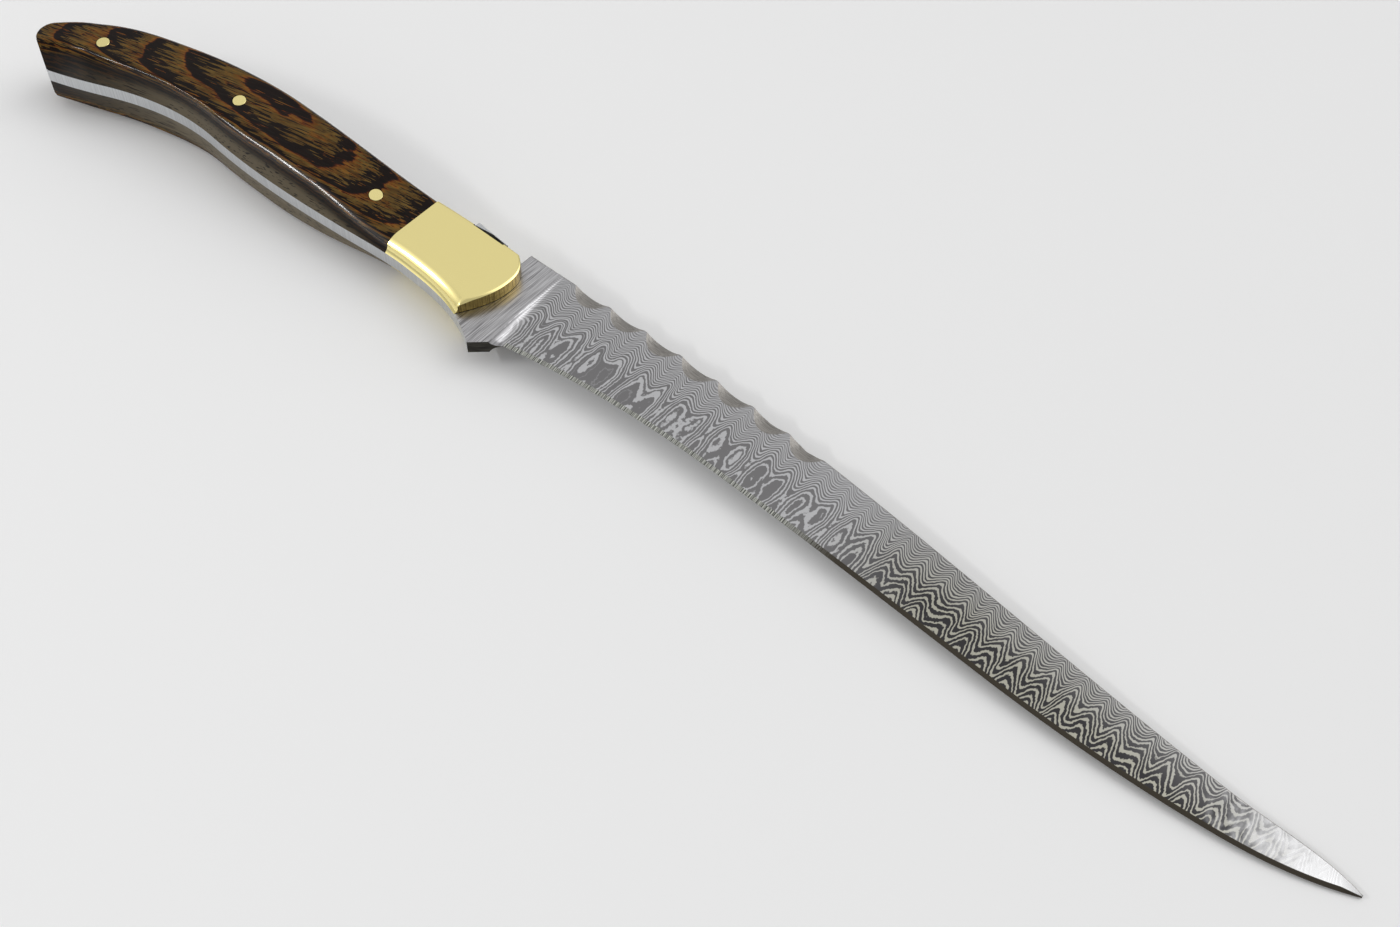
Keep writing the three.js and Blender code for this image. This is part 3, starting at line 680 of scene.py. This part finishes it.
def face_half(x, y):
    spine, lower = blade_spine(x), blade_lower(x)
    bevel_top = lower + np.minimum(BEVEL_WIDTH, (spine - lower) / 3)
    half_bevel = np.minimum(HALF_BEVEL, spine_half(x))
    on_face = blend(spine_half(x), half_bevel, np.clip((spine - y) / (spine - bevel_top), 0, 1))
    on_bevel = blend(half_bevel, HALF_EDGE, np.clip((bevel_top - y) / (bevel_top - lower), 0, 1))
    return ground_half(x, y, np.where(y >= bevel_top, on_face, on_bevel))


def scallop_depth(x, settings):
    """Depth of the filing at the spine's corner, with the corner itself slightly eased."""
    chord, depth = settings.scallop_chord / MM, settings.scallop_depth / MM
    radius = (chord ** 2 / 4 + depth ** 2) / (2 * depth)
    filed = np.full_like(x, SPINE_EASE)
    for i in range(settings.scallop_count):
        off = x - (settings.scallop_start + i * settings.scallop_pitch) / MM
        inside = np.abs(off) < chord / 2
        arc = depth - radius + np.sqrt(radius ** 2 - np.where(inside, off, 0) ** 2)
        filed = np.maximum(filed, np.where(inside, arc, 0))
    return filed


def blade_stations(settings):
    """Places of the blade's sections: close at the plunge and the tip, with one at each corner."""
    start, pitch = settings.scallop_start / MM, settings.scallop_pitch / MM
    half = settings.scallop_chord / MM / 2
    centres = start + pitch * np.arange(settings.scallop_count)
    plunge_end = EDGE_X + 2.5
    filed_end = start + pitch * settings.scallop_count
    tip_start = BLADE_LENGTH - TIP_ZONE
    # Start, end and number of sections
    spans = (
        (0, 6, 13), (6, plunge_end, 85), (plunge_end, filed_end, 140), (filed_end, tip_start, 110),
        (tip_start, BLADE_LENGTH, 40))
    places = [np.linspace(*span) for span in spans]
    corners = (centres - half, centres + half, (HEEL_X, EDGE_X))
    return np.unique(np.round(np.concatenate([*places, *corners]), 4))


def corner_height(x, end):
    """Height of the butt's round corner over its centre, as far as the given end of the arc."""
    off = np.minimum(x, end) - BUTT_CENTRE[0]
    return np.sqrt(np.maximum(BUTT_RADIUS ** 2 - off ** 2, 0))


def butt_upper(x):
    """Upper limit that the butt's round corner sets."""
    start = BUTT_CENTRE + BUTT_RADIUS * np.array((-math.cos(BUTT_BACK_LEAN), math.sin(BUTT_BACK_LEAN)))
    back = np.maximum(x - start[0], 0) / math.tan(BUTT_BACK_LEAN)
    return BUTT_CENTRE[1] + corner_height(x, start[0]) + back


def butt_lower(x):
    """Lower limit that the butt's round corner and slanted end set."""
    end = BUTT_CENTRE - BUTT_RADIUS * np.array((math.sin(BUTT_SLANT), math.cos(BUTT_SLANT)))
    slant = np.maximum(x - end[0], 0) * math.tan(BUTT_SLANT)
    return BUTT_CENTRE[1] - corner_height(x, end[0]) - slant


def grip_top(x):
    spine, corner, softness = handle_spine(x), butt_upper(x), 0.4
    return np.minimum(spine, corner) - softness * np.log1p(np.exp(-np.abs(spine - corner) / softness))


def grip_bottom(x):
    return np.maximum(handle_belly(x), butt_lower(x))


def beak_place():
    """Where the belly meets the slanted end of the butt."""
    x = np.linspace(BUTT, BUTT + 20, 20001)
    return x[np.argmax(handle_belly(x) > butt_lower(x))]


def grip_stations(step):
    beak = beak_place()
    turn = BUTT + BUTT_RADIUS * (1 - np.cos(np.linspace(0, math.pi / 2, 15)))
    rear = np.linspace(turn[-1], beak, 12)
    rest = np.linspace(beak, JOINT, round((JOINT - beak) / step))
    return np.concatenate([turn, rear[1:], rest[1:]])


class KNIFE_OT_forge_blade(bpy.types.Operator):
    """Forge the blade, its filed spine, heel, tang and thumb pad in one piece"""

    bl_idname = "ham_knife.forge_blade"
    bl_label = "Blade"

    def execute(self, context):
        settings = context.scene.ham_knife.blade
        x = blade_stations(settings)
        spine, lower, half = blade_spine(x), blade_lower(x), spine_half(x)
        bevel_top = lower + np.minimum(BEVEL_WIDTH, (spine - lower) / 3)
        depth = scallop_depth(x, settings)
        down = depth / math.sin(SCALLOP_TILT)
        across = np.minimum(depth / math.cos(SCALLOP_TILT), half - LEAST_CROWN)
        dip = (depth - across * math.cos(SCALLOP_TILT)) / math.sin(SCALLOP_TILT)
        face_top = spine - down
        notch_share = (NOTCH_DEPTH + face_top[0]) / (face_top[0] - bevel_top[0])
        shares = np.append(np.linspace(0, notch_share, NOTCH_ROWS), np.linspace(notch_share, 1, 30)[1:])
        face_y = blend(face_top, bevel_top, shares[:, None])
        face = grid_of(x, face_y, face_half(x, face_y))
        bevel_y = blend(bevel_top, lower, np.linspace(0, 1, 4)[:, None])
        bevel = grid_of(x, bevel_y, face_half(x, bevel_y))
        crown = np.stack([grid_of(x, spine - dip, half - across), face[0]])
        honed = x >= EDGE_X
        ground = slice(int(np.argmax(honed)), None)
        heel_end = slice(int(np.argmax(x >= HEEL_X)), int(np.argmax(honed)) + 1)
        rear = slice(0, int(np.argmax(x >= HEEL_X)) + 1)
        grids = []
        for side in (np.array((1, 1, 1)), np.array((1, 1, -1))):
            grids += [(face * side, 0), (crown * side, 1), (bevel[:, ground] * side, 2),
                      (bevel[:, :ground.start + 1] * side, 0)]
        grids.append((strip_across(crown[0]), 1))
        for part, finish in ((rear, 3), (heel_end, 4), (ground, 2)):
            low = bevel[-1, part]
            grids.append((strip_across(low), finish))
        tip = np.concatenate([crown[0, -1:], face[:, -1], bevel[1:, -1]])
        grids.append((strip_across(tip), 2))
        notch = np.concatenate([crown[0, :1], face[:NOTCH_ROWS, 0]])
        grids.append((strip_across(notch), 3))

        tx = np.concatenate([grip_stations(2.0), np.linspace(JOINT, 0, 24)[1:]])
        rows = np.concatenate([face[NOTCH_ROWS - 1:, 0, 1], bevel[1:, 0, 1]])
        tang_shares = (rows - rows[0]) / (rows[-1] - rows[0])
        side = grid_of(tx, blend(grip_top(tx), grip_bottom(tx), tang_shares[:, None]), HALF_TANG)
        grids += [(side, 3), (mirrored(side), 3)]
        for edge in (side[0], side[-1]):
            grids.append((strip_across(edge), 3))
        materials = [ladder_steel(settings), filed_steel(), honed_steel(), ground_steel(), etched_end_steel()]
        blade = piece_from(weld(grids), "forged_blade", materials)
        combine(blade, self.thumb_pad(materials), "UNION")
        mark_points(blade.data, self.surface_marks)
        finish_piece(blade, "steel", "blade")
        return {"FINISHED"}

    def surface_marks(self, x, y, z):
        """Millimetres along the blade, below its spine, above its edge and past the plunge."""
        ahead = np.clip(x, 0, BLADE_LENGTH)
        return {"along": x, "below": blade_spine(ahead) - y, "above_edge": y - blade_lower(ahead),
                "past_plunge": past_plunge(ahead, y)}

    def thumb_pad(self, materials):
        """Solid of the pad across both bolsters at the spine: bright on top, with painted shade low on its
        sides, in the gap beside the brass.
        """
        rings = []
        # Painted shade: each side is dark from the bottom up to a line that rises towards the front
        for share, stain in ((0, 0.3), (0.2, 0.55), (0.5, 1), (1, 1)):
            x = blend(PAD_REAR + SEAT_GAP, PAD_FRONT - SEAT_GAP, share)
            width = blend(PAD_REAR_HALF, PAD_FRONT_HALF, share)
            bottom, top = float(seat_height(x)) + SEAT_GAP, PAD_TOP
            ease = min(PAD_CHAMFER, (top - bottom) / 2)
            line = blend(bottom, top - ease, stain)
            half = [(bottom, width), (line, width), (top - ease, width), (top, width - ease)]
            rings.append(section_ring(x, half))
        wall = np.array([[*ring, ring[0]] for ring in rings])
        grids = [(wall[:, :2], 4), (wall[:, 1:7], 3), (wall[:, 6:], 4)]
        return piece_from(weld(grids, [(rings[0], 4), (rings[-1], 4)]), "thumb_pad", materials)


def flank_profile(inset, rise, roll, hollow, tilt, steps=8):
    """Rows of a side's edge, how far in and how high: from the tang up the flank and over a ridge."""
    radius = roll / math.sin(tilt)
    ridge = rise - radius * (1 - math.cos(tilt))
    t = np.linspace(0, 1, steps)[:, None]
    flank_in = t * inset + 4 * t * (1 - t) * hollow
    angle = tilt * np.linspace(1, 0, steps)[1:, None]
    roll_in = inset + radius * (math.sin(tilt) - np.sin(angle))
    roll_up = rise - radius * (1 - np.cos(angle))
    return np.concatenate([flank_in, roll_in]), np.concatenate([t * ridge, roll_up])


def round_the_butt(share):
    """Places in plan along the grip's back and round the butt's corner, closest together at the start."""
    back = blend(FAN_START, BUTT, np.sin(np.linspace(0, math.pi / 2, 400)))
    angles = np.linspace(math.pi, 1.5 * math.pi - BUTT_SLANT, 100)[1:]
    corner = BUTT_CENTRE + BUTT_RADIUS * np.stack([np.cos(angles), np.sin(angles)], axis=1)
    path = np.concatenate([np.stack([back, grip_top(back)], axis=1), corner])
    run = np.concatenate([[0], np.cumsum(np.linalg.norm(np.diff(path, axis=0), axis=1))])
    start_run = FAN_START - beak_place()
    at = start_run * share + (run[-1] - start_run) * share ** 2
    return np.stack([np.interp(at, run, column) for column in path.T], axis=1)


def scale_shape(side):
    """Solid of one scale: sections square to the grip that fan out to the end face at the butt."""
    straight = np.linspace(JOINT, FAN_START, 150)
    share = np.linspace(0, 1, 60)
    x = np.concatenate([straight, blend(FAN_START, beak_place(), share[1:])])
    belly = np.stack([x, handle_belly(x)], axis=1)
    spine = np.concatenate([np.stack([straight, grip_top(straight)], axis=1), round_the_butt(share[1:])])
    across = spine - belly
    width = np.linalg.norm(across, axis=1)
    across /= width[:, None]
    near_end = np.concatenate([np.zeros(len(straight)), step_up(0.6, 1, share[1:])])
    rise = outer_rise(x)
    end_width = width[-1]
    inset = near_inset(x) if side > 0 else far_inset(x)
    roll = blend(ridge_roll(x), END_ROLL * end_width, near_end)
    b_in, b_up = flank_profile(inset, rise, roll, FLANK_HOLLOW * (1 - near_end), RIDGE_TILT)
    back = blend(spine_inset(x), END_BACK * end_width, near_end)
    back_roll = blend(SPINE_ROUND, END_BACK_ROLL * end_width, near_end)
    s_in, s_up = flank_profile(back, rise, back_roll, 0.0, SPINE_TILT)

    def band(outline, direction, reach, up):
        plan = outline + direction * reach[..., None]
        height = HALF_TANG + up / rise * outer_rise(plan[..., 0])
        return np.concatenate([plan, height[..., None]], axis=-1)

    belly_band = band(belly, across, b_in, b_up)
    spine_band = band(spine, -across, s_in, s_up)
    face = blend(belly_band[-1], spine_band[-1], np.linspace(0, 1, 33)[:, None, None])
    face[..., 2] = HALF_TANG + outer_rise(face[..., 0])
    shell = np.concatenate([belly_band, face[1:-1], spine_band[::-1]])
    joint, end = shell[:, 0].copy(), shell[:, -1].copy()
    shell[:, -1] += np.array((across[-1, 1], -across[-1, 0], 0)) * BUTT_EASE
    middle = (end[0] + end[-1]) / 2
    end = blend(middle, end, 1 - 2 * BUTT_EASE / end_width)
    turn = np.stack([np.concatenate([ring, ring[:1]]) for ring in (shell[:, -1], end)])
    base = np.stack([shell[0], shell[-1]])
    flip = np.array((1, 1, side))
    grids = [(part * flip, 0) for part in (shell, base, turn)]
    return weld(grids, [(ring * flip, 0) for ring in (joint, end)])


def rod_shape(place, radius, level, sides=64, ease=0.05):
    """Grid of a rod along Z through both sides, its eased ends at the level that a function of X gives."""
    angles = np.linspace(0, 2 * math.pi, sides + 1)
    rim = np.stack([np.cos(angles), np.sin(angles)], axis=1)
    rings = []
    for reach, sunk in ((0, 0), (radius / 2, 0), (radius - ease, 0), (radius, ease)):
        plan = np.array(place) + rim * reach
        rings.append(np.column_stack([plan, level(plan[:, 0]) - sunk]))
    return np.array([*rings, *mirrored(rings[::-1])])


class KNIFE_OT_shape_scales(bpy.types.Operator):
    """Shape both wenge scales and drill them for the pins"""

    bl_idname = "ham_knife.shape_scales"
    bl_label = "Scales"

    def execute(self, context):
        settings = context.scene.ham_knife.handle
        material = lacquered_wenge(settings)
        radius = (settings.pin_diameter / 2 + settings.pin_gap) / MM
        for where, side in (("near", 1), ("far", -1)):
            scale = piece_from(scale_shape(side), "wenge_scale_" + where, [material])
            for place in PIN_PLACES.values():
                drill = weld([(rod_shape(place, radius, self.drill_level), 0)])
                combine(scale, piece_from(drill, "drill", [material]), "DIFFERENCE")
            mark_points(scale.data, self.surface_marks)
            finish_piece(scale, "wenge", "scale_" + where)
        return {"FINISHED"}

    def drill_level(self, x):
        """Height that a drill reaches over the wood."""
        return outer_level(x) + DRILL_REACH

    def surface_marks(self, x, y, z):
        """Millimetres below the level of the outer face, and how much painted floor reflection shows there.
        """
        depth = outer_level(x) - np.abs(z)
        # Painted floor reflection: on the near flank low down and on the far flank all over, both less
        # towards the butt
        unpolished = np.where(z > 0, NEAR_DULLNESS * step_up(*NEAR_DULL, depth), step_up(*FAR_DULL, depth))
        at_belly = y < (grip_top(x) + grip_bottom(x)) / 2
        return {"depth": depth, "dull": unpolished * at_belly * np.interp(x, DULL_FADE, (0, 1))}


class KNIFE_OT_set_pins(bpy.types.Operator):
    """Set the brass scale pins, flush with the wood, and finish the hidden bolster pins"""

    bl_idname = "ham_knife.set_pins"
    bl_label = "Pins"

    def execute(self, context):
        settings = context.scene.ham_knife.handle
        material = bpy.data.materials["polished_brass"]
        for name, place in PIN_PLACES.items():
            rod = weld([(rod_shape(place, settings.pin_diameter / MM / 2, outer_level), 0)])
            pin = piece_from(rod, "brass_" + name, [material])
            finish_piece(pin, "brass", name)
        for name in ("bolster_pin_rear", "bolster_pin_front"):
            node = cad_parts[name]
            node.data.materials.clear()
            node.data.materials.append(material)
        return {"FINISHED"}


def bolster_shape(side, belly_ease):
    """Solid of one bolster: the grip's section run forward to a curved front wall, whose edge is eased."""
    belly_rows = flank_profile(BOLSTER_INSET, BOLSTER_RISE, BOLSTER_ROLL, FLANK_HOLLOW, RIDGE_TILT, 12)
    spine_rows = flank_profile(1.0, BOLSTER_RISE, BOLSTER_SPINE_ROUND, 0.0, SPINE_TILT, 6)
    b_in, b_up = (row[:, 0] for row in belly_rows)
    s_in, s_up = (row[:, 0] for row in spine_rows)
    shares = np.linspace(0, 1, 25)[1:-1]
    up = np.concatenate([b_up, np.full(len(shares), BOLSTER_RISE), s_up[::-1]])
    on_face = step_up(0.7, 1, up / BOLSTER_RISE) * np.linspace(1, 0, len(up))
    ease = blend(FRONT_EASE_SPINE, belly_ease, on_face)[:, None]

    def heights(x):
        low = handle_belly(x) + b_in[:, None]
        high = handle_spine(x) - s_in[:, None] * spine_inset(x)
        middle = blend(low[-1], high[-1], shares[:, None])
        return np.concatenate([low, middle, high[::-1]])

    # The front wall's place depends on the height and the height on the place, so they are settled in turns
    along = np.linspace(0, 1, 48)
    x = np.broadcast_to(blend(JOINT, 0.0, along), (len(up), len(along))).copy()
    for _ in range(8):
        y = np.stack([heights(x[i])[i] for i in range(len(up))])
        x = blend(JOINT, bolster_front(y) - ease, along)
    outer = grid_of(x, y, HALF_TANG + up[:, None])
    rim = outer[:, -1]
    angles = np.linspace(0, FRONT_TILT, 6)
    radius = ease / math.sin(FRONT_TILT)
    sunk = np.maximum(-radius * (1 - np.cos(angles)), HALF_TANG - rim[:, 2:])
    turn = rim[:, None] + np.stack([radius * np.sin(angles), np.zeros_like(sunk), sunk], axis=-1)
    foot = turn[:, -1].copy()
    foot[:, 2] = HALF_TANG
    # Painted shade: a thin band at the foot of the front wall, in its corner with the blade, gets the dark
    # brown finish
    glue = foot.copy()
    glue[:, 2] = np.minimum(HALF_TANG + GLUE_LINE, turn[:, -1, 2])
    wall = np.stack([turn[:, -1], glue], axis=1)
    line = np.stack([glue, foot], axis=1)
    rear = outer[:, 0]
    base = np.concatenate([outer[0], turn[0, 1:], foot[1:-1], turn[-1, ::-1], outer[-1, ::-1][1:]])
    flip = np.array((1, 1, side))
    # Finishes: 0 buffed brass, 1 the filed wall with painted shade, 2 the painted shade at the wall's foot
    grids = [(part * flip, finish) for part, finish in ((outer, 0), (turn, 0), (wall, 1), (line, 2))]
    return weld(grids, [(loop * flip, 0) for loop in (rear, base)])


class KNIFE_OT_fit_bolsters(bpy.types.Operator):
    """Fit both brass bolsters and cut the pocket for the thumb pad"""

    bl_idname = "ham_knife.fit_bolsters"
    bl_label = "Bolsters"

    def execute(self, context):
        settings = context.scene.ham_knife.handle
        material = polished_brass(settings)
        tarnish = tarnished_brass()
        materials = [material, filed_brass(), tarnish]
        for where, side in (("near", 1), ("far", -1)):
            shape = bolster_shape(side, settings.front_ease / MM)
            bolster = piece_from(shape, "brass_bolster_" + where, materials)
            combine(bolster, self.pocket(tarnish), "DIFFERENCE")
            finish_piece(bolster, "brass", "bolster_" + where)
        return {"FINISHED"}

    def pocket(self, material):
        """Solid of the pocket that the thumb pad sits in; its cut faces take the dark brown painted shade."""
        rings = []
        for x in (PAD_REAR, PAD_FRONT):
            seat = float(seat_height(x))
            half = [(seat, POCKET_HALF), (POCKET_TOP, POCKET_HALF)]
            rings.append(section_ring(x, half))
        wall = np.array([[*ring, ring[0]] for ring in rings])
        return piece_from(weld([(wall, 0)], [(ring, 0) for ring in rings]), "pocket", [material])


def floor_slope():
    """Slope of a floor that touches the point and the far scale when the knife lies down."""
    x = np.linspace(BUTT, JOINT, 800)
    under = -HALF_TANG - outer_rise(x)
    slopes = (-HALF_TIP - under) / (BLADE_LENGTH - x)
    touch = int(np.argmax(slopes))
    return x[touch], under[touch], slopes[touch]


class KNIFE_OT_set_stage(bpy.types.Operator):
    """Set the pale floor, the soft lights and the camera"""

    bl_idname = "ham_knife.set_stage"
    bl_label = "Stage"

    def execute(self, context):
        settings = context.scene.ham_knife.stage
        scene = context.scene
        scene.view_settings.view_transform = "Standard"
        self.floor(settings)
        self.lights(scene)
        self.camera(scene, settings)
        return {"FINISHED"}

    def floor(self, settings):
        x, z, slope = floor_slope()
        touch = in_frame((x, 0, z))
        shape = bmesh.new()
        bmesh.ops.create_grid(shape, x_segments=8, y_segments=8, size=FLOOR_HALF)
        floor = piece_from(shape, "floor", [pale_floor(settings)])
        floor.location = (touch[0], 0, touch[2])
        floor.rotation_euler = (0, -math.atan(slope), 0)

    def lights(self, scene):
        """A white studio tent, brighter at the back and over the point, and a strip lamp at the belly."""
        world = bpy.data.worlds.new("studio")
        world.use_nodes = True
        world.node_tree.nodes.clear()
        scene.world = world
        node = partial(add_node, world.node_tree)
        direction = node("TexCoord").outputs["Generated"]
        total = TENT_LEVEL
        for towards, start, end, gain in TENT_LOBES:
            facing = node("VectorMath", {0: direction, 1: towards}, operation="DOT_PRODUCT")
            lobe = node("MapRange", {
                "Value": facing, "From Min": start, "From Max": end, "To Max": gain}, **SMOOTH)
            total = node("Math", {0: lobe, 1: total}, operation="ADD")
        tent = node("Background", {"Color": linear("#ffffff"), "Strength": total})
        node("OutputWorld", {"Surface": tent})
        lamp = bpy.data.lights.new("strip", "AREA")
        lamp.shape = "RECTANGLE"
        lamp.size, lamp.size_y = STRIP_SIZE
        lamp.energy = STRIP_POWER
        strip = bpy.data.objects.new("strip", lamp)
        away = Vector(STRIP_TOWARDS).normalized()
        strip.location = away * STRIP_DISTANCE
        strip.rotation_euler = away.to_track_quat("Z", "Y").to_euler()
        scene.collection.objects.link(strip)

    def camera(self, scene, settings):
        lens = bpy.data.cameras.new("camera")
        lens.lens = settings.focal_length
        lens.sensor_width = SENSOR_WIDTH
        lens.clip_start = 0.01
        camera = bpy.data.objects.new("camera", lens)
        right = Vector(CAMERA_RIGHT).normalized()
        back = Vector(CAMERA_BACK).normalized()
        turn = Matrix((right, back.cross(right), back)).transposed()
        camera.matrix_world = Matrix.Translation(CAMERA_PLACE) @ turn.to_4x4()
        scene.collection.objects.link(camera)
        scene.camera = camera


class KNIFE_PT_sidebar(bpy.types.Panel):
    """Sizes, finishes and steps of the knife"""

    bl_idname = "KNIFE_PT_sidebar"
    bl_label = "Ham knife"
    bl_space_type = "VIEW_3D"
    bl_region_type = "UI"
    bl_category = "Knife"

    def draw(self, context):
        settings = context.scene.ham_knife
        for title in ("Blade", "Handle", "Stage"):
            group = getattr(settings, title.lower())
            box = self.layout.box()
            box.label(text=title)
            for name in group.__annotations__:
                box.prop(group, name)
        for step in STEPS:
            self.layout.operator(step.bl_idname)


STEPS = (
    KNIFE_OT_set_stage, KNIFE_OT_forge_blade, KNIFE_OT_fit_bolsters, KNIFE_OT_shape_scales, KNIFE_OT_set_pins)
CLASSES = (BladeSettings, HandleSettings, StageSettings, KnifeSettings, *STEPS, KNIFE_PT_sidebar)


def register():
    for kind in CLASSES:
        bpy.utils.register_class(kind)
    bpy.types.Scene.ham_knife = PointerProperty(type=KnifeSettings)


def unregister():
    del bpy.types.Scene.ham_knife
    for kind in reversed(CLASSES):
        bpy.utils.unregister_class(kind)


def main():
    register()
    bpy.ops.ham_knife.set_stage()
    bpy.ops.ham_knife.forge_blade()
    bpy.ops.ham_knife.fit_bolsters()
    bpy.ops.ham_knife.shape_scales()
    bpy.ops.ham_knife.set_pins()


if __name__ == "__main__":
    main()
